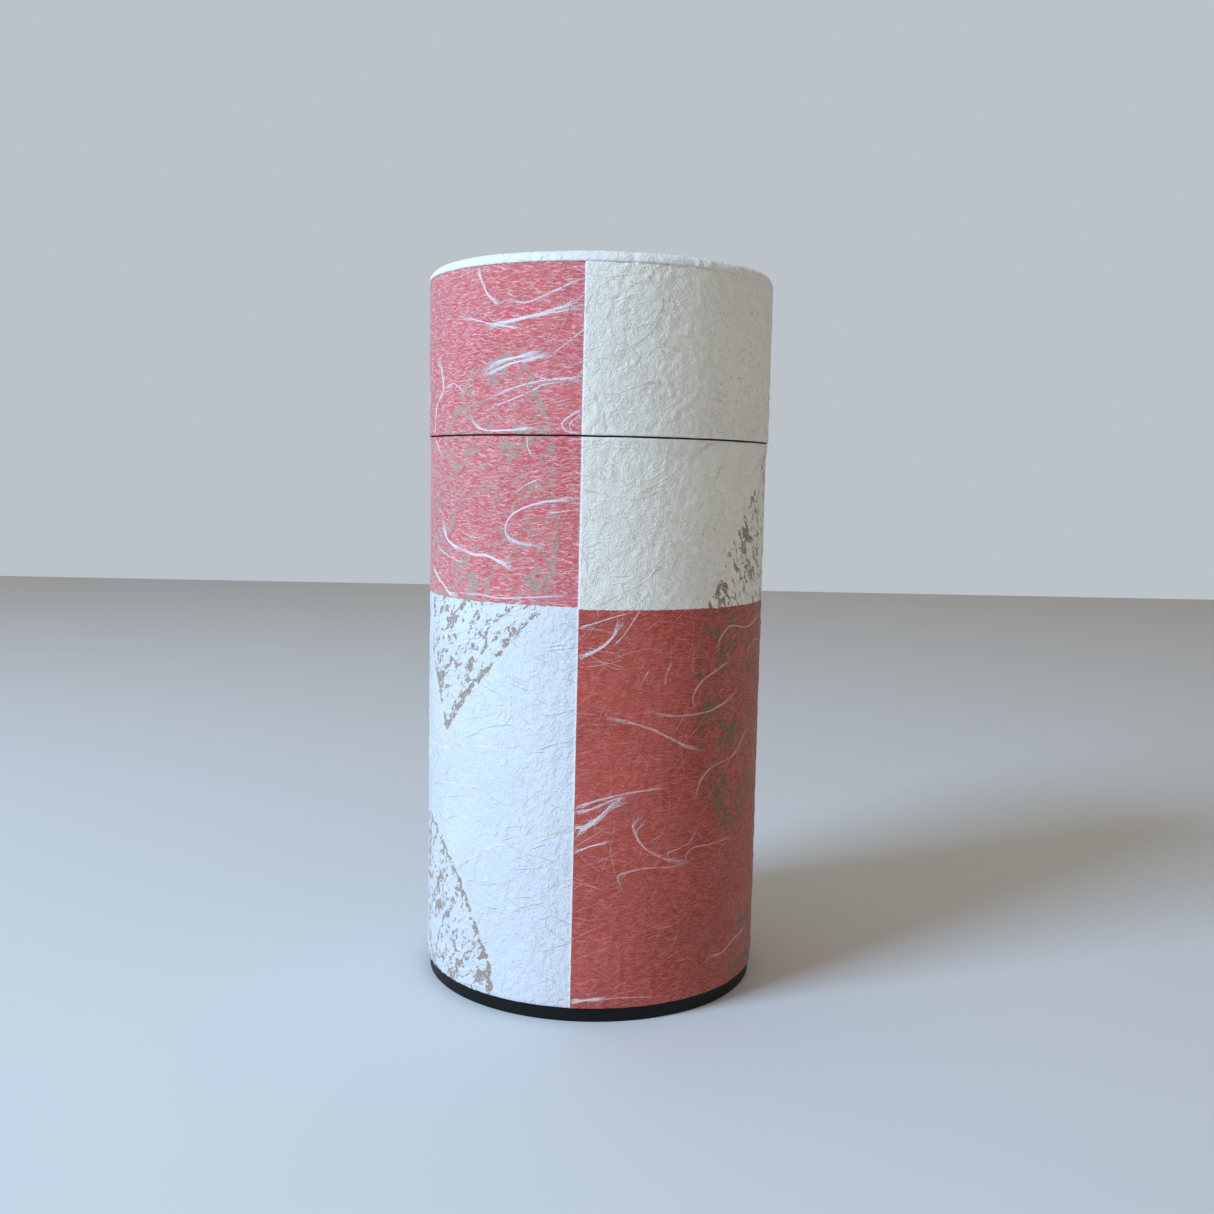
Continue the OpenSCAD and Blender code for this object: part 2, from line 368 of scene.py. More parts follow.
def fibreTree():
    # Turns lines drawn on the flat sheet into bundles of thin tubes wrapped on the wall
    tree, g, size = newTree("fibres", {
        **{k: bodySheet[k] for k in ("Radius", "Low", "High", "Flare top", "Flare bottom",
                                     "Flare height")},
        "Relief": 1.0, "Filaments": 1, "Spread": 1.0, "Step": 1.0, "Flatness": 1.0}, True)
    curves = g.add("GeometryNodeCurveSplineType", {"spline_type": "CATMULL_ROM"},
                   {0: size["Geometry"]})
    spaced = g.add("GeometryNodeResampleCurve", {"mode": "LENGTH"},
                   {0: curves, "Length": size["Step"]})
    copies = g.add("GeometryNodeDuplicateElements", {"domain": "SPLINE"},
                   {0: spaced, "Amount": size["Filaments"]})
    number = Wire(g, copies.socket.node.outputs["Duplicate Index"])
    place = g.add("GeometryNodeInputPosition")
    radius = g.add("GeometryNodeInputRadius")
    along = g.add("GeometryNodeSplineParameter")
    ends = abs(along * 2 - 1)
    seedPlace = g.vectorMath("ADD", g.vectorMath("SCALE", place, scale=1000.0),
                             g.vector(number * 17.3, number * 9.1, number * 5.7))
    stray = g.vectorMath("SUBTRACT", g.noise(seedPlace, 0.16, 2.0, 0.6, colour=True),
                         (0.5, 0.5, 0.5))
    apart = size["Spread"] * radius * (0.45 + ends ** 3 * fibreShape["splay"])
    offset = g.vectorMath("MULTIPLY", g.vectorMath("SCALE", stray, scale=apart),
                          (1.0, 1.0, fibreShape["flatten"]))
    frayed = g.add("GeometryNodeSetPosition", {}, {0: copies, "Offset": offset})
    taper = radius * (1 - ends ** 4 * fibreShape["thinEnds"])
    outline = g.add("GeometryNodeCurvePrimitiveCircle", {},
                    {"Resolution": fibreShape["sides"], "Radius": 1.0})
    sized = g.add("GeometryNodeSetCurveRadius", {}, {0: frayed, "Radius": taper})
    tube = g.add("GeometryNodeCurveToMesh", {}, {
        0: sized, 1: outline, "Scale": g.add("GeometryNodeInputRadius"), "Fill Caps": True})
    arc, z, height = g.split(g.add("GeometryNodeInputPosition"))
    onWall = wallPoint(g, size, arc, z, height * size["Flatness"] + fibreShape["proud"],
                       arc - lapArc(z))
    wrapped = g.add("GeometryNodeSetPosition", {}, {0: tube, "Position": onWall})
    wrappedX, wrappedY, up = g.split(g.add("GeometryNodeInputPosition"))
    margin = fibreShape["margin"]
    outside = (up < size["Low"] + margin) + (up > size["High"] - margin)
    kept = g.add("GeometryNodeDeleteGeometry", {"domain": "POINT"},
                 {0: wrapped, "Selection": outside > 0.5})
    closeTree(g, kept, size["Material"])
    return tree


def bake(name, tree, values, material, source=None):
    # Runs a tree on an object and leaves a plain mesh
    data = source if source is not None else bpy.data.meshes.new(name + "Seed")
    maker = bpy.data.objects.new(name + "Maker", data)
    bpy.context.scene.collection.objects.link(maker)
    modifier = maker.modifiers.new("nodes", "NODES")
    modifier.node_group = tree
    for item in tree.interface.items_tree:
        if item.in_out == "INPUT" and item.name in values:
            modifier[item.identifier] = values[item.name]
        if item.in_out == "INPUT" and item.name == "Material":
            modifier[item.identifier] = material
    bpy.context.view_layer.update()
    evaluated = maker.evaluated_get(bpy.context.evaluated_depsgraph_get())
    mesh = bpy.data.meshes.new_from_object(evaluated)
    maker.modifiers.clear()
    bpy.data.objects.remove(maker)
    mesh.name = name
    piece = bpy.data.objects.new(name, mesh)
    bpy.context.scene.collection.objects.link(piece)
    mesh.calc_loop_triangles()
    print(name, len(mesh.loop_triangles), "triangles")
    return piece


def newMaterial(name):
    material = bpy.data.materials.new(name)
    material.use_nodes = True
    g = Graph(material.node_tree)
    shader = material.node_tree.nodes["Principled BSDF"]
    place = g.vectorMath("SCALE", g.add("ShaderNodeTexCoord", output="Object"), scale=1000.0)
    return material, g, shader, place


pattern = {                   # in mm along the paper and up it
    "circumference": 2 * math.pi * 40,
    "backLine": 125.0,        # where the right column ends, measured from the lap
    "rightStep": 91.6,        # height of the colour change in the right column
    "leftStep": 92.1,
    "tear": 0.9,              # raggedness of the colour change
    "cut": 0.11,              # half width of the bare paper edge at the lap
    "repeat": 62.83,          # half the distance after which the leaf print repeats
}
paperFinish = {
    "roughness": 0.86, "specular": 0.32,
    "sheen": 0.5, "sheenRoughness": 0.35,
    "bumpStrength": 0.9, "bumpDepth": 0.14 * mm,
    "leans": ((3, 0.0), (-17, 31.0), (20, 67.0), (52, 83.0), (-48, 12.0)),  # degrees, shift
}
colours = {
    # Each pair is for the left column, then the right one. The left column faces the window lamp
    # and
    # the right one turns from it: besides the paper's own colours, the left ones hold painted
    # light (lighter, cooler) and the right ones painted shade (darker, warmer)
    "red": [rgb(0.80, 0.195, 0.195), rgb(0.75, 0.14, 0.11)],
    "deepRed": [rgb(0.60, 0.08, 0.09), rgb(0.42, 0.05, 0.025)],
    "redFibre": [rgb(0.96, 0.62, 0.65), rgb(0.74, 0.25, 0.21)],
    "white": [rgb(0.775, 0.79, 0.845), rgb(0.88, 0.84, 0.755)],
    "whiteShade": [rgb(0.72, 0.73, 0.78), rgb(0.81, 0.765, 0.69)],
    "speck": rgb(0.62, 0.44, 0.24),
    "topWhite": rgb(0.85, 0.835, 0.80), "topShade": rgb(0.79, 0.775, 0.735),
    "inkOnWhite": [rgb(0.35, 0.25, 0.18), rgb(0.24, 0.165, 0.11)],
    "inkOnRed": [rgb(0.41, 0.38, 0.29), rgb(0.12, 0.125, 0.045)],
}

# Leaf shapes of the print, as corners in mm along the paper and up it. lean is the way their
# veins run, middle the arc they are centred on, rim and dense how much ink the outline and the
# whole leaf carry, and spots the places where it is heavy, each with its reach
leaves = [
    {"corners": [(-40, 61), (-10, 93), (-8, 104), (-10, 130), (-17, 147), (-30, 143),
                 (-46, 122), (-50, 80)],
     "lean": 38, "middle": -30, "heavy": 0.10,
     "spots": [(-38, 121, 6), (-35, 116, 4), (-21, 126, 4), (-18, 118, 4), (-12, 97, 6),
               (-31, 98, 5), (-44, 72, 5), (-27, 77, 4), (-33, 68, 4), (-38, 88, 4),
               (-20, 106, 4), (-14, 88, 5)]},
    {"corners": [(-23, 0), (-23, 10), (-33, 28), (-43, 37), (-52, 40), (-72, 28), (-74, 0)],
     "lean": 55, "middle": -48, "dense": 0.012, "heavy": 0.09,
     "spots": [(-41, 21, 6), (-46, 18, 5), (-36, 2, 5), (-52, 8, 6), (-53, 33, 6)]},
    {"corners": [(26, 91), (37, 110), (52, 126), (64, 128), (69, 100), (62, 60), (48, 42),
                 (33, 40), (23, 66), (24, 80)],
     "lean": -50, "middle": 46, "rim": 0.045, "dense": 0.012, "heavy": 0.14,
     "spots": [(30, 46, 6), (33, 84, 6), (32, 95, 5), (35, 63, 5), (42, 47, 5), (27, 68, 4),
               (40, 107, 4), (45, 100, 5)]},
    {"corners": [(37, 8), (41, 17), (54, 18), (60, 10), (58, 0), (44, 0)],
     "lean": 20, "middle": 50, "dense": 0.03},
]


def leafInk(g, arc, z, leaf, grain):
    # Blotches of ink inside one leaf, denser along its veins and its outline
    middle = leaf["middle"]
    around = g.math("WRAP", arc - middle, pattern["repeat"], -pattern["repeat"]) + middle
    corners = leaf["corners"]
    centreX = sum(c[0] for c in corners) / len(corners)
    centreZ = sum(c[1] for c in corners) / len(corners)
    depth = None
    for (x0, z0), (x1, z1) in zip(corners, corners[1:] + corners[:1]):
        length = math.hypot(x1 - x0, z1 - z0)
        nx, nz = (z1 - z0) / length, -(x1 - x0) / length
        side = nx * (centreX - x0) + nz * (centreZ - z0)
        if side < 0:
            nx, nz = -nx, -nz
        reach = around * nx + z * nz - (nx * x0 + nz * z0)
        depth = reach if depth is None else g.low(depth, reach)
    depth = depth + (grain - 0.5) * 3.0
    lean = math.radians(leaf["lean"])
    u = around * math.cos(lean) + z * math.sin(lean)
    v = z * math.cos(lean) - around * math.sin(lean)
    blot = g.noise(g.vector(u * 0.24, v * 0.46, middle), 1.0, 4.5, 0.72, 1.1)
    speckle = g.noise(g.vector(u * 0.6, v * 0.7, 5.0), 1.0, 2.0) - 0.5
    cluster = g.noise(g.vector(u * 0.08, v * 0.12, middle), 1.0, 1.0) - 0.5
    blot = blot + speckle * 0.4 + cluster * 0.16
    vein = 1 - g.rise(abs(g.math("WRAP", v + (grain - 0.5) * 5, 4.2, -4.2)), 0.0, 1.6)
    rim = 1 - g.rise(abs(depth - 0.6), 0.3, 1.0)
    weight = blot + vein * 0.06 + rim * leaf.get("rim", 0.11)
    for spotX, spotZ, spotReach in leaf.get("spots", []):
        away = ((around - spotX) ** 2 + (z - spotZ) ** 2) ** 0.5
        weight = weight + (1 - g.rise(away, 0.0, spotReach)) * leaf["heavy"]
    return g.rise(weight + leaf.get("dense", 0.0), 0.575, 0.592) * (depth > 0)


def wormLines(g, place):
    # Fine winding wrinkles, 1 along each
    first = 1 - g.rise(abs(g.noise(place, 0.24, 2.5, 0.6, 1.2) - 0.5), 0.0, 0.045)
    second = 1 - g.rise(abs(g.noise(place, 0.5, 2.0, 0.6, 0.6) - 0.5), 0.0, 0.06)
    faint = g.rise(g.noise(place, 0.11, 1.0), 0.35, 0.65)
    return first * faint * 0.8 + second * (1 - faint) * 0.5


def creases(g, arc, z):
    # Long, nearly straight fibres pressed into the sheet in two leans
    lines = None
    for lean, shift in ((14, 7.0), (-24, 29.0)):
        lean = math.radians(lean)
        u = arc * math.cos(lean) + z * math.sin(lean)
        v = z * math.cos(lean) - arc * math.sin(lean)
        field = g.noise(g.vector(u * 0.03, v * 0.2, shift), 1.0, 2.0, 0.55)
        line = 1 - g.rise(abs(g.math("WRAP", field * 5, 0.5, -0.5)), 0.0, 0.12)
        gaps = g.rise(g.noise(g.vector(u * 0.05, v * 0.3, shift + 3), 1.0, 1.0), 0.52, 0.66)
        lines = line * gaps if lines is None else g.high(lines, line * gaps)
    return lines


def flecks(g, place):
    # Scattered bits of bark
    return (g.rise(g.noise(place, 0.8, 2.0, 0.6), 0.58, 0.70)
            * g.rise(g.noise(place, 0.06, 1.0), 0.5, 0.62))


def onSheet(g, place):
    # A point's place on the sheet in mm: along it, up it, past the lap, and 1 for the right column
    x, y, z = g.split(place)
    arc = g.math("ARCTAN2", x, -y) * 40.0
    pastLap = arc - (sheet["lapAtFoot"] / mm + z * sheet["lapLean"])
    right = (pastLap > 0) * (pastLap < pattern["backLine"])
    right = right + (pastLap < pattern["backLine"] - pattern["circumference"])
    return arc, z, pastLap, right


def washiPrint():
    material, g, shader, place = newMaterial("washiPrint")
    arc, z, pastLap, right = onSheet(g, place)
    # Torn-looking colour change
    tear = g.noise(g.vector(arc * 0.5, right * 9, 0.0), 1.0, 3.0, 0.6) - 0.5
    tear = tear * pattern["tear"]
    step = pattern["leftStep"] + right * (pattern["rightStep"] - pattern["leftStep"])
    under = (z + tear) < step
    red = right * under + (1 - right) * (1 - under)
    cut = abs(pastLap) < pattern["cut"]
    red = red * (1 - cut)

    # Felted short fibres in several leans, steeper ones in the right column
    sway = (g.noise(place, 0.12, 1.0) - 0.5) * 3.0
    layers = []
    for lean, shift in paperFinish["leans"]:
        lean = math.radians(lean)
        u = arc * math.cos(lean) + z * math.sin(lean)
        v = z * math.cos(lean) - arc * math.sin(lean) + sway
        layers.append(g.noise(g.vector(u * 0.36, v * 3.4, shift), 1.0, 2.0, 0.6, 0.35))
    level = g.high(g.high(g.rise(layers[0], 0.53, 0.64), g.rise(layers[1], 0.55, 0.66)),
                   g.rise(layers[2], 0.56, 0.67))
    steep = g.high(g.rise(layers[3], 0.56, 0.70), g.rise(layers[4], 0.56, 0.70))
    fibre = g.high(level * (1 - right * 0.3), steep * (0.3 + right * 0.5))
    # hollow is high where the fibre layers pile up; away from them the red is darkened, painted
    # shade beneath the raised fibres
    hollow = g.rise(layers[0] + layers[1] * 0.5 + layers[3] * 0.5, 0.85, 1.12)
    cloud = g.noise(place, 0.05, 2.0)
    grit = g.noise(place, 2.6, 2.0, 0.6)
    worm = wormLines(g, place)
    # Column colours: painted light in the left column, painted shade in the right one
    tones = {name: g.mix(right, pair[0], pair[1]) for name, pair in colours.items()
             if isinstance(pair, list)}
    # The red turns toward deepRed further right of the lap: painted shade for the side turned from
    # the window lamp
    redPaper = g.mix(g.rise(cloud, 0.35, 0.65) * 0.25 + (1 - hollow) * 0.55
                     + g.rise(grit, 0.45, 0.7) * 0.3 + right * g.rise(pastLap, 12, 34) * 0.5,
                     tones["red"], tones["deepRed"])
    redPaper = g.mix(fibre * (0.42 + g.rise(grit, 0.4, 0.6) * 0.4), redPaper, tones["redFibre"])
    whitePaper = g.mix(g.rise(cloud, 0.4, 0.7) * 0.6, tones["white"], tones["whiteShade"])
    whitePaper = g.mix(flecks(g, place) * right * 0.5, whitePaper, colours["speck"])
    paper = g.mix(red, whitePaper, redPaper)

    grain = g.noise(place, 0.45, 3.0, 0.6)
    ink = None
    for leaf in leaves:
        one = leafInk(g, arc, z, leaf, grain)
        ink = one if ink is None else g.high(ink, one)
    worn = 1 - g.rise(g.noise(place, 1.7, 2.0, 0.6), 0.58, 0.66) * 0.7
    inkColour = g.mix(red, tones["inkOnWhite"], tones["inkOnRed"])
    cover = ink * worn * (0.92 - red * 0.1) * (1 - fibre * red * 0.3)
    painted = g.mix(cover * (1 - cut), paper, inkColour)

    g.feed(shader.inputs["Base Color"], painted)
    g.feed(shader.inputs["Roughness"], paperFinish["roughness"] - cover * 0.16)
    shader.inputs["Specular IOR Level"].default_value = paperFinish["specular"]
    shader.inputs["Sheen Weight"].default_value = paperFinish["sheen"]
    shader.inputs["Sheen Roughness"].default_value = paperFinish["sheenRoughness"]
    bare = 1 - red
    height = grit * 0.6 + fibre * red * (0.5 + right * 0.7)
    height = height + worm * (0.35 + bare * (0.15 + right * 0.5))
    height = height + creases(g, arc, z) * bare * (1.2 - right * 0.6)
    height = height + g.noise(place, 0.8, 2.5, 0.62, 0.8) * (2.0 + bare * (1 - right) * 1.5)
    g.feed(shader.inputs["Normal"],
           g.bump(height, paperFinish["bumpStrength"], paperFinish["bumpDepth"]))
    return material


def washiWhite():
    material, g, shader, place = newMaterial("washiWhite")
    cloud = g.noise(place, 0.05, 2.0)
    paper = g.mix(g.rise(cloud, 0.4, 0.7) * 0.6, colours["topWhite"], colours["topShade"])
    paper = g.mix(flecks(g, place) * 0.3, paper, colours["speck"])
    g.feed(shader.inputs["Base Color"], paper)
    g.feed(shader.inputs["Roughness"], 0.84 + cloud * 0.08)
    shader.inputs["Specular IOR Level"].default_value = paperFinish["specular"]
    height = g.noise(place, 2.6, 2.0, 0.6) * 0.6 + wormLines(g, place) * 0.9
    height = height + g.noise(place, 0.8, 2.5, 0.62, 0.8) * 2.0
    g.feed(shader.inputs["Normal"],
           g.bump(height, paperFinish["bumpStrength"], paperFinish["bumpDepth"]))
    return material


fibreColours = {
    "cool": rgb(0.86, 0.80, 0.84), "warm": rgb(0.90, 0.87, 0.88),
    "sunkAndShaded": rgb(0.74, 0.20, 0.19),
}


def fibreMaterial(name, depth):
    # depth is how far the print's red covers the fibres
    material, g, shader, place = newMaterial(name)
    arc, z, pastLap, right = onSheet(g, place)
    under = z < pattern["rightStep"] + 0.3
    red = right * under + (1 - right) * (1 - under)
    buried = g.rise(g.noise(place, 0.06, 1.0), 0.35, 0.65)
    # Fibres on red take the deep red where the print covers them, and also further right of the
    # lap as painted shade for the side turned from the window lamp
    sunkAndShaded = red * (depth + buried * 0.22 + right * g.rise(pastLap, 3.0, 15.0) * 0.42)
    tone = g.mix(g.noise(place, 0.8, 2.0), fibreColours["cool"], fibreColours["warm"])
    onRed = g.mix(sunkAndShaded, tone, fibreColours["sunkAndShaded"])
    g.feed(shader.inputs["Base Color"], g.mix(red, colours["white"][1], onRed))
    g.feed(shader.inputs["Roughness"], 0.62 + buried * 0.2)
    shader.inputs["Specular IOR Level"].default_value = 0.4
    g.feed(shader.inputs["Normal"], g.bump(g.noise(place, 3.0, 2.0), 0.3, 0.05 * mm))
    return material


tinLook = {
    "dull": rgb(0.60, 0.60, 0.60), "bright": rgb(0.74, 0.735, 0.72),
    "scratch": rgb(0.82, 0.82, 0.82), "ring": rgb(0.46, 0.455, 0.45),
    # near-black painted shade for the gap where the lid meets the can
    "seam": rgb(0.30, 0.30, 0.30), "paintedSeamShade": rgb(0.012, 0.011, 0.011),
    "seamHalf": 1.5,         # half the width of the lock seam, mm
    "roughness": 0.22,
}


def tinMaterial(name, spun=False):
    # Spun tin has rings from the lathe, rolled tin has lines along the sheet and a seam
    material, g, shader, place = newMaterial(name)
    x, y, z = g.split(place)
    out = g.math("SQRT", x * x + y * y)
    arc = g.math("ARCTAN2", x, -y) * 40.0
    if spun:
        lines = g.noise(g.vector(out * 3.2, z * 3.2, 0.0), 1.0, 3.0, 0.7)
    else:
        lines = g.noise(g.vector(arc * 0.12, z * 3.0, 0.0), 1.0, 3.0, 0.7)
    smudge = g.noise(place, 0.06, 3.0, 0.6)
    scratch = g.rise(g.noise(g.vector(arc * 0.9, z * 0.08, 3.0), 1.0, 4.0, 0.75), 0.62, 0.70)
    tone = g.mix(smudge, tinLook["dull"], tinLook["bright"])
    tone = g.mix(scratch * 0.25, tone, tinLook["scratch"])
    height = lines + scratch * 0.3
    if spun:
        tone = g.mix(g.rise(lines, 0.4, 0.7) * 0.35, tone, tinLook["ring"])
        height = height * 2.2     # rings cut deeper than rolling lines
        shader.inputs["Metallic"].default_value = 1.0
    else:
        # The lock seam down the back, and a near-black, unmetallic band on the cut edges and the
        # neck where
        # the lid meets the can: painted shade for the dark gap between them
        seam = (1 - g.rise(abs(abs(x) - tinLook["seamHalf"]), 0.1, 0.35)) * (y > 0)
        tone = g.mix(seam * 0.6, tone, tinLook["seam"])
        height = height - seam * 6
        paintedSeamShade = g.rise(abs(z - (bodyHigh[2] + lidLow[2]) / 2 / mm), 0.75, 0.5)
        tone = g.mix(paintedSeamShade, tone, tinLook["paintedSeamShade"])
        g.feed(shader.inputs["Metallic"], 1 - paintedSeamShade)
    g.feed(shader.inputs["Base Color"], tone)
    g.feed(shader.inputs["Roughness"], tinLook["roughness"] + lines * 0.16 + smudge * 0.12)
    g.feed(shader.inputs["Normal"], g.bump(height, 0.25, 0.03 * mm))
    return material


enamelLook = {
    "deep": rgb(0.003, 0.003, 0.003), "dusty": rgb(0.008, 0.008, 0.008),
    "rubbed": rgb(0.06, 0.06, 0.06),
    "roughness": 0.42, "specular": 0.22,
}


def enamelMaterial():
    material, g, shader, place = newMaterial("blackEnamel")
    x, y, z = g.split(place)
    rub = g.rise(g.noise(place, 0.5, 4.0, 0.7), 0.5, 0.75) * (1 - g.rise(z, 0.05, 0.5))
    dust = g.noise(place, 0.25, 3.0, 0.6)
    base = g.mix(dust, enamelLook["deep"], enamelLook["dusty"])
    g.feed(shader.inputs["Base Color"], g.mix(rub * 0.5, base, enamelLook["rubbed"]))
    g.feed(shader.inputs["Roughness"], enamelLook["roughness"] + dust * 0.2 + rub * 0.2)
    shader.inputs["Specular IOR Level"].default_value = enamelLook["specular"]
    g.feed(shader.inputs["Normal"], g.bump(g.noise(place, 1.2, 2.0), 0.2, 0.05 * mm))
    return material


printPaper = washiPrint()
whitePaper = washiWhite()
strandFibre = fibreMaterial("strandFibre", 0.08)
hairFibre = fibreMaterial("hairFibre", 0.32)
tin = tinMaterial("rolledTin")
spunTin = tinMaterial("spunTin", True)
enamel = enamelMaterial()

for node in ("inner_can_wall", "outer_sleeve", "lid_wall"):
    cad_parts[node].data.materials.clear()
    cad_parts[node].data.materials.append(tin)
for node in ("inner_can_floor", "lid_top_plate", "inner_lid_dish", "knob", "knob_washer",
             "knob_rivet"):
    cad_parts[node].data.materials.clear()
    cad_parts[node].data.materials.append(spunTin)
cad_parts["base_cap"].data.materials.clear()
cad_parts["base_cap"].data.materials.append(enamel)
print("metal finished")

sideTree = sideSheetTree()
paperValues = {"Relief": sheet["relief"], "Thickness": sheet["thickness"]}
bodyPaper = bake("body_paper", sideTree, {**bodySheet, **paperValues}, printPaper)
lidPaper = bake("lid_side_paper", sideTree, {**lidSheet, **paperValues}, printPaper)
topPaper = bake("lid_top_paper", topSheetTree(), {**topSheet, **paperValues}, whitePaper)
for piece, body, node, slotName in ((bodyPaper, "body", "body_washi", "printed_paper"),
                                    (lidPaper, "lid", "lid_side_washi", "printed_paper"),
                                    (topPaper, "lid", "lid_top_washi", "white_paper")):
    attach(piece, body)
    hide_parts(node)
print("papers wrapped")

# Long strands listed one by one on the front, in mm along the paper and up it, each with its
# weight first
strands = [
    (2.0, (-29, 165), (-28, 162), (-26, 158.5), (-24.5, 157), (-22.5, 156)),
    (0.8, (-20, 157.2), (-18.5, 156.4), (-16, 156.1), (-12, 157.5), (-5, 160.5), (-3.4, 161)),
    (1.0, (-33.5, 153.8), (-29, 153), (-24.5, 151.8), (-20, 151.2), (-17, 150.6)),
    (1.8, (-26.5, 151), (-22, 152), (-12, 153.9), (-3.4, 156.7)),
    (0.9, (-23, 151.6), (-15, 153), (-10, 153.9), (-3.4, 155)),
    (2.0, (-27, 141.6), (-25, 142.6), (-22, 144), (-17, 144.9), (-12, 145.8)),
    (1.7, (-28.5, 141.2), (-25, 141.5), (-20, 143.3), (-14, 144.5), (-10, 145.2)),
    (0.7, (-10, 145.3), (-6, 148.5), (-3.4, 150.5)),
    (1.0, (-26, 136), (-20, 138), (-14, 139.5), (-8, 140.3), (-3.4, 139.5)),
    (0.8, (-25.5, 134), (-19, 136), (-14, 138), (-12, 139), (-8, 139.6)),
    (0.6, (-14.5, 140.8), (-9, 140), (-3.4, 141)),
    (1.3, (-31, 134), (-30.5, 132), (-29, 130.5), (-26, 129.5), (-20, 129.4), (-13, 129.8)),
    (0.9, (-3.4, 134), (-6, 132.5), (-7.8, 131), (-7, 129.4), (-3.4, 128.8)),
    (0.6, (-3.4, 133.2), (-5.5, 131.6), (-6.3, 130.3), (-5.5, 129.2)),
    (1.5, (-45.5, 145), (-43, 143.5), (-42.3, 141), (-42, 138.5), (-45, 136), (-47, 134),
     (-47.5, 128), (-46, 126), (-43.5, 123.5)),
    (0.8, (-33, 137.3), (-37, 139.8), (-42, 138.6)),
    (0.9, (-15.4, 129), (-15.6, 126.5), (-15, 124.8), (-14, 124)),
    (0.7, (-19, 115.8), (-15.5, 118), (-12, 119.5)),
    (1.3, (-3.6, 115), (-8, 114.8), (-12, 114.2), (-16, 113), (-19.5, 111), (-20.7, 108.5),
     (-20, 106.5), (-17, 105.4), (-12, 105.1)),
    (0.5, (-3.6, 113), (-8, 112.3), (-11, 112)),
    (2.0, (-43, 108.5), (-41.5, 106.5), (-40, 105), (-37, 103.8), (-34, 103)),
    (2.1, (-35, 103.6), (-33, 103.1), (-30, 102.3), (-26, 102.3), (-23, 101.4), (-18.8, 100.2)),
    (0.6, (-27, 106.3), (-29, 106), (-31.5, 106.2)),
    (1.8, (-50, 98), (-45.5, 96), (-42, 94.5), (-39, 93), (-35, 92.6)),
    (0.8, (-36, 93.2), (-28, 93.6), (-22, 93.2), (-14, 93.8), (-6, 94.5)),
    (0.6, (-46, 103.3), (-38, 101), (-32, 100.4)),
    (1.5, (-3.6, 81.2), (0, 82.7), (2.5, 84.3), (4.2, 86.5), (5.6, 88.9)),
    (0.7, (-3.6, 87.6), (0, 88.8), (3, 89.8), (8, 91.2)),
    (0.6, (4, 84), (6, 86), (8, 89), (10, 92)),
    (0.7, (17.5, 80), (16.3, 78), (15.7, 75)),
    (0.5, (12, 78.5), (11, 77), (10, 75)),
    (1.1, (35, 79.5), (30, 77.6), (25.5, 75.5), (23.5, 73), (23, 71), (24, 69.4)),
    (1.1, (11.5, 70), (15, 68.7), (20, 68.2), (27, 68.4), (31, 69.3), (35, 70.8), (38, 72.4)),
    (1.3, (3, 68.2), (8, 67.2), (13, 65.5), (18, 63), (22, 61), (25, 60)),
    (0.5, (20.5, 68), (19.5, 66), (18, 64.5)),
    (1.0, (30.2, 82), (30.6, 84.5), (33.5, 87), (36, 87.2), (41, 86.4), (45, 86.9), (50, 88)),
    (0.9, (24.6, 49.5), (25.5, 52.5), (28, 55), (31, 56.2), (36, 57), (40, 59.5), (44, 62.5)),
    (0.6, (33.5, 54.5), (36, 56.6), (39, 58.2)),
    (1.2, (-3.7, 47.9), (-1, 49.4), (3, 50.6), (8, 51.7), (16, 52.4)),
    (1.3, (-3.7, 47.2), (0, 48.2), (4, 50), (8, 51.2)),
    (3.0, (-3.7, 42.9), (-1, 44.2), (2, 46.4), (4, 48.5), (7, 50.4)),
    (0.9, (-3.7, 38.4), (0, 40), (4, 41)),
    (1.5, (11, 46.2), (9.4, 45), (9.3, 43.5), (10.5, 41), (12.5, 38.8), (15, 37.3), (18, 36),
     (22.4, 35)),
    (0.8, (11.6, 44.8), (10, 43.2), (10.3, 41.8)),
    (0.9, (22.2, 34.9), (22.3, 36), (23, 37.3), (25, 38.1), (30, 38), (37, 38.3)),
    (0.8, (18, 36.2), (17.4, 37.7), (20, 38.3), (23, 39.4), (25.6, 42.6)),
    (1.1, (23, 34.9), (18, 34.4), (12, 34.7), (7, 33.7), (6, 33), (6.3, 31.8), (7.6, 31)),
    (0.5, (13, 40.3), (14.5, 41.3), (16.5, 42)),
    (1.1, (29, 10), (30, 11.5), (34, 11.3), (37, 12), (40, 13.2), (47, 14)),
    (1.8, (-3.8, 5), (0, 5.4), (3, 5.6)),
    (0.7, (2, 5.5), (8, 5.7), (15, 5.2)),
    (0.9, (1.5, 129), (0.8, 132), (1, 134), (3, 137), (9, 139.5), (13, 140)),
    (0.8, (9, 116.5), (15, 120), (20, 124), (27, 128)),
    (0.7, (-3, 117), (3, 116), (8, 115.2), (13, 117)),
    (0.6, (15, 125), (22, 126), (27, 127.8)),
    (0.7, (0, 92.4), (5, 95), (10, 97.5), (14, 101)),
    (0.7, (24, 107), (26, 112), (27, 117), (29, 122)),
    (0.6, (4, 146), (9, 149), (12, 153), (13, 159)),
    (1.0, (-35, 30), (-28, 34.5), (-22, 38), (-15, 40.5), (-8, 42.5), (-4.6, 44)),
    (0.9, (-56, 56), (-45, 57), (-34, 57.3)),
    (0.7, (-22, 69.6), (-16, 69), (-9, 68.2)),
    (0.7, (-48, 47), (-38, 49.5), (-27, 50)),
    (0.7, (-37, 58.7), (-21, 60.3), (-16, 61)),
    (0.6, (-24, 30.5), (-16, 27), (-9, 25.4)),
    (0.6, (-48, 37), (-36, 39), (-28, 38)),
    (0.7, (-22, 86), (-17, 83.6), (-11, 81)),
    (0.6, (-28, 72), (-20, 69), (-14, 66)),
    (0.7, (-30, 20), (-20, 22), (-12, 27), (-7, 32)),
]
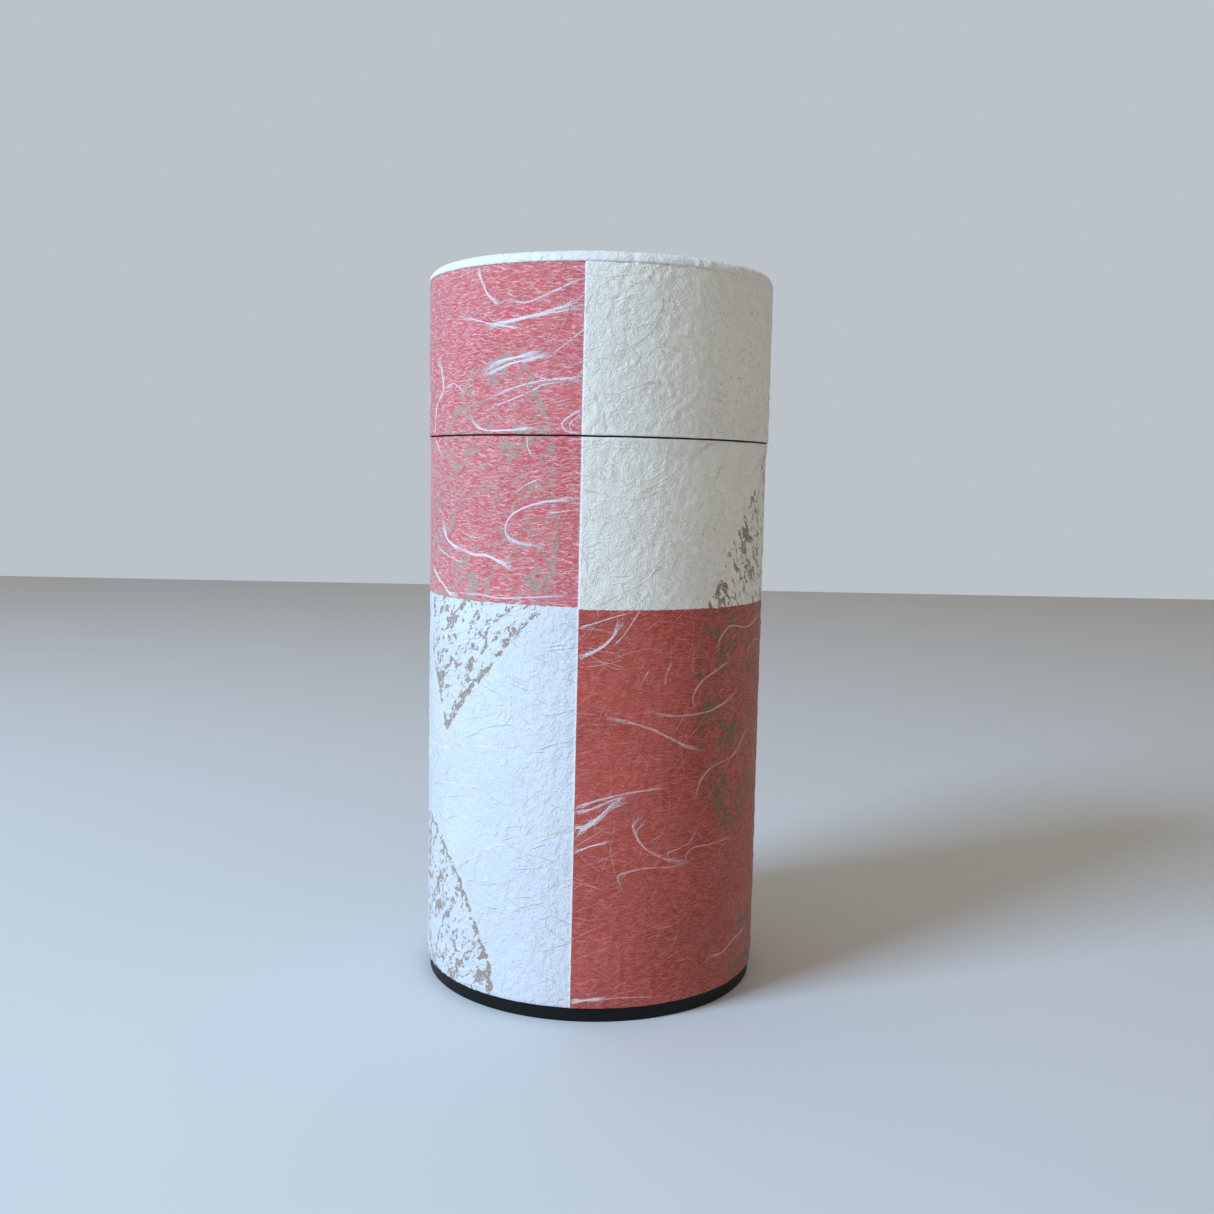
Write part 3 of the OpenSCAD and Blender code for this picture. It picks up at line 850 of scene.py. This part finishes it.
strandSizes = {
    "width": 0.037,      # half width of a filament in a strand of weight 1, mm
    "filaments": 18,
    "spread": 52.0,      # how far filaments stray apart, in widths
    "flatness": 0.8,     # 1 is round
    "step": 0.9 * mm, "farStep": 1.2 * mm, "hairStep": 1.3 * mm,
    "farStrands": 95,    # strands on the side and the back
    "farFilaments": 8,
    "hairs": 1500,       # single thin fibres all round
    "longHairs": 260,
    "seed": 7,
    "heights": (3, 166), "farHeights": (4, 164),         # mm
    "farArcs": (58, 196),        # past the front's right edge, round to its left one
    "wrapAt": 125.6,             # arcs past this are counted from the other side
    "weights": (0.5, 1.2), "farWeights": (0.5, 1.8), "longWeights": (0.5, 1.0),
    "lengths": (4, 14), "farLengths": (9, 32), "longLengths": (16, 42),
    "bends": 0.22, "farBends": 0.16, "longBends": 0.05,
    "hairWidth": 0.045,
}


def wander(seedling, x, z, length, bendiness):
    # A fibre that turns at random as it runs
    heading = seedling.gauss(0, 0.5) + (math.pi if seedling.random() < 0.5 else 0)
    turning = seedling.gauss(0, bendiness)
    points = [(x, z)]
    steps = max(3, round(length / 3))
    for i in range(steps):
        turning += seedling.gauss(0, bendiness * 0.6)
        heading += turning
        x += math.cos(heading) * length / steps
        z += math.sin(heading) * length / steps
        points.append((x, z))
    return points


def fibreCurves(name, paths, width):
    curve = bpy.data.curves.new(name, "CURVE")
    curve.dimensions = "3D"
    for weight, points in paths:
        spline = curve.splines.new("POLY")
        spline.points.add(len(points) - 1)
        for point, (x, z) in zip(spline.points, points):
            point.co = (x * mm, z * mm, 0.0, 1.0)
            point.radius = weight * width * mm
    return curve


dice = random.Random(strandSizes["seed"])
strandPaths = [(weight, list(points)) for weight, *points in strands]
farPaths = []
for i in range(strandSizes["farStrands"]):
    start = dice.uniform(*strandSizes["farArcs"])
    x = start if start < strandSizes["wrapAt"] else start - pattern["circumference"]
    weight = dice.uniform(*strandSizes["farWeights"])
    z = dice.uniform(*strandSizes["farHeights"])
    length = dice.uniform(*strandSizes["farLengths"])
    farPaths.append((weight, wander(dice, x, z, length, strandSizes["farBends"])))
hairPaths = []
for count, weights, lengths, bends in (("hairs", "weights", "lengths", "bends"),
                                       ("longHairs", "longWeights", "longLengths",
                                        "longBends")):
    for i in range(strandSizes[count]):
        weight = dice.uniform(*strandSizes[weights])
        x = dice.uniform(-125, 125)
        z = dice.uniform(*strandSizes["heights"])
        length = dice.uniform(*strandSizes[lengths])
        hairPaths.append((weight, wander(dice, x, z, length, strandSizes[bends])))

fibreNodes = fibreTree()
for name, paths, width, filaments, spread, step, material in (
        ("strands", strandPaths, strandSizes["width"], strandSizes["filaments"],
         strandSizes["spread"], strandSizes["step"], strandFibre),
        ("far_strands", farPaths, strandSizes["width"], strandSizes["farFilaments"],
         strandSizes["spread"], strandSizes["farStep"], strandFibre),
        ("hairs", hairPaths, strandSizes["hairWidth"], 1, 0.0, strandSizes["hairStep"],
         hairFibre)):
    for body, sizes in (("body", bodySheet), ("lid", lidSheet)):
        values = {key: sizes[key] for key in ("Radius", "Low", "High", "Flare top",
                                              "Flare bottom", "Flare height")}
        values.update({"Relief": sheet["relief"], "Filaments": filaments, "Spread": spread,
                       "Step": step, "Flatness": strandSizes["flatness"]})
        piece = bake(body + "_" + name, fibreNodes, values, material,
                     fibreCurves(name + "Paths", paths, width))
        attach(piece, body)
print("fibres laid")


studio = {
    "reach": 1.1,            # half the floor's side, metres
    "floor": rgb(0.70, 0.715, 0.73), "floorRoughness": 0.7,
    "sky": rgb(0.335, 0.30, 0.255), "backdrop": rgb(0.50, 0.54, 0.58),
}
floorMesh = bpy.data.meshes.new("floor")
reach = studio["reach"]
floorMesh.from_pydata([(-reach, -reach, 0), (reach, -reach, 0), (reach, reach, 0),
                       (-reach, reach, 0)], [], [(0, 1, 2, 3)])
floor = bpy.data.objects.new("floor", floorMesh)
bpy.context.scene.collection.objects.link(floor)
floorPaint = bpy.data.materials.new("paleFloor")
floorPaint.use_nodes = True
floorShader = floorPaint.node_tree.nodes["Principled BSDF"]
floorShader.inputs["Base Color"].default_value = studio["floor"]
floorShader.inputs["Roughness"].default_value = studio["floorRoughness"]
floorMesh.materials.append(floorPaint)

lights = {                    # metres and watts
    "window": {"at": (-0.80, -0.54, 0.72), "size": 0.4, "power": 15.2,
               "tint": (0.50, 0.72, 0.97)},
    "fill": {"at": (0.9, -0.8, 0.5), "size": 1.0, "power": 0.6, "tint": (1.0, 0.90, 0.78)},
    "top": {"at": (-0.1, 0.3, 1.3), "size": 1.0, "power": 1.5, "tint": (0.80, 0.92, 1.0)},
}
aim = Vector((0, 0, 0.085))   # about the middle of the canister
for name, lamp in lights.items():
    data = bpy.data.lights.new(name, "AREA")
    data.size = lamp["size"]
    data.energy = lamp["power"]
    data.color = lamp["tint"]
    light = bpy.data.objects.new(name, data)
    light.location = lamp["at"]
    light.rotation_euler = (aim - light.location).to_track_quat("-Z", "Y").to_euler()
    bpy.context.scene.collection.objects.link(light)

# The sky lights the object softly; seen directly it is a plain pale grey
world = bpy.data.worlds.new("studio")
world.use_nodes = True
sky = Graph(world.node_tree)
seen = sky.add("ShaderNodeLightPath", output=0)
world.node_tree.nodes["Background"].inputs["Strength"].default_value = 1.0
sky.feed(world.node_tree.nodes["Background"].inputs["Color"],
         sky.mix(seen, studio["sky"], studio["backdrop"]))
bpy.context.scene.world = world
bpy.context.scene.view_settings.view_transform = "Standard"

view = {"at": (0.0, -316.7 * mm, 119.8 * mm), "pitch": 0.0991, "yaw": 0.0087, "roll": 0.0204,
        "lens": 38.64}
camera = bpy.data.objects.new("camera", bpy.data.cameras.new("camera"))
camera.data.lens = view["lens"]
camera.data.sensor_width = 36.0
camera.data.clip_start = 0.01
forward = Vector((math.sin(view["yaw"]) * math.cos(view["pitch"]),
                  math.cos(view["yaw"]) * math.cos(view["pitch"]), -math.sin(view["pitch"])))
rightward = Vector((math.cos(view["yaw"]), -math.sin(view["yaw"]), 0))
upward = rightward.cross(forward)
rolledRight = rightward * math.cos(view["roll"]) + upward * math.sin(view["roll"])
rolledUp = upward * math.cos(view["roll"]) - rightward * math.sin(view["roll"])
turned = Matrix((rolledRight, rolledUp, -forward)).transposed()
camera.matrix_world = Matrix.Translation(view["at"]) @ turned.to_4x4()
bpy.context.scene.collection.objects.link(camera)
bpy.context.scene.camera = camera
print("studio ready")
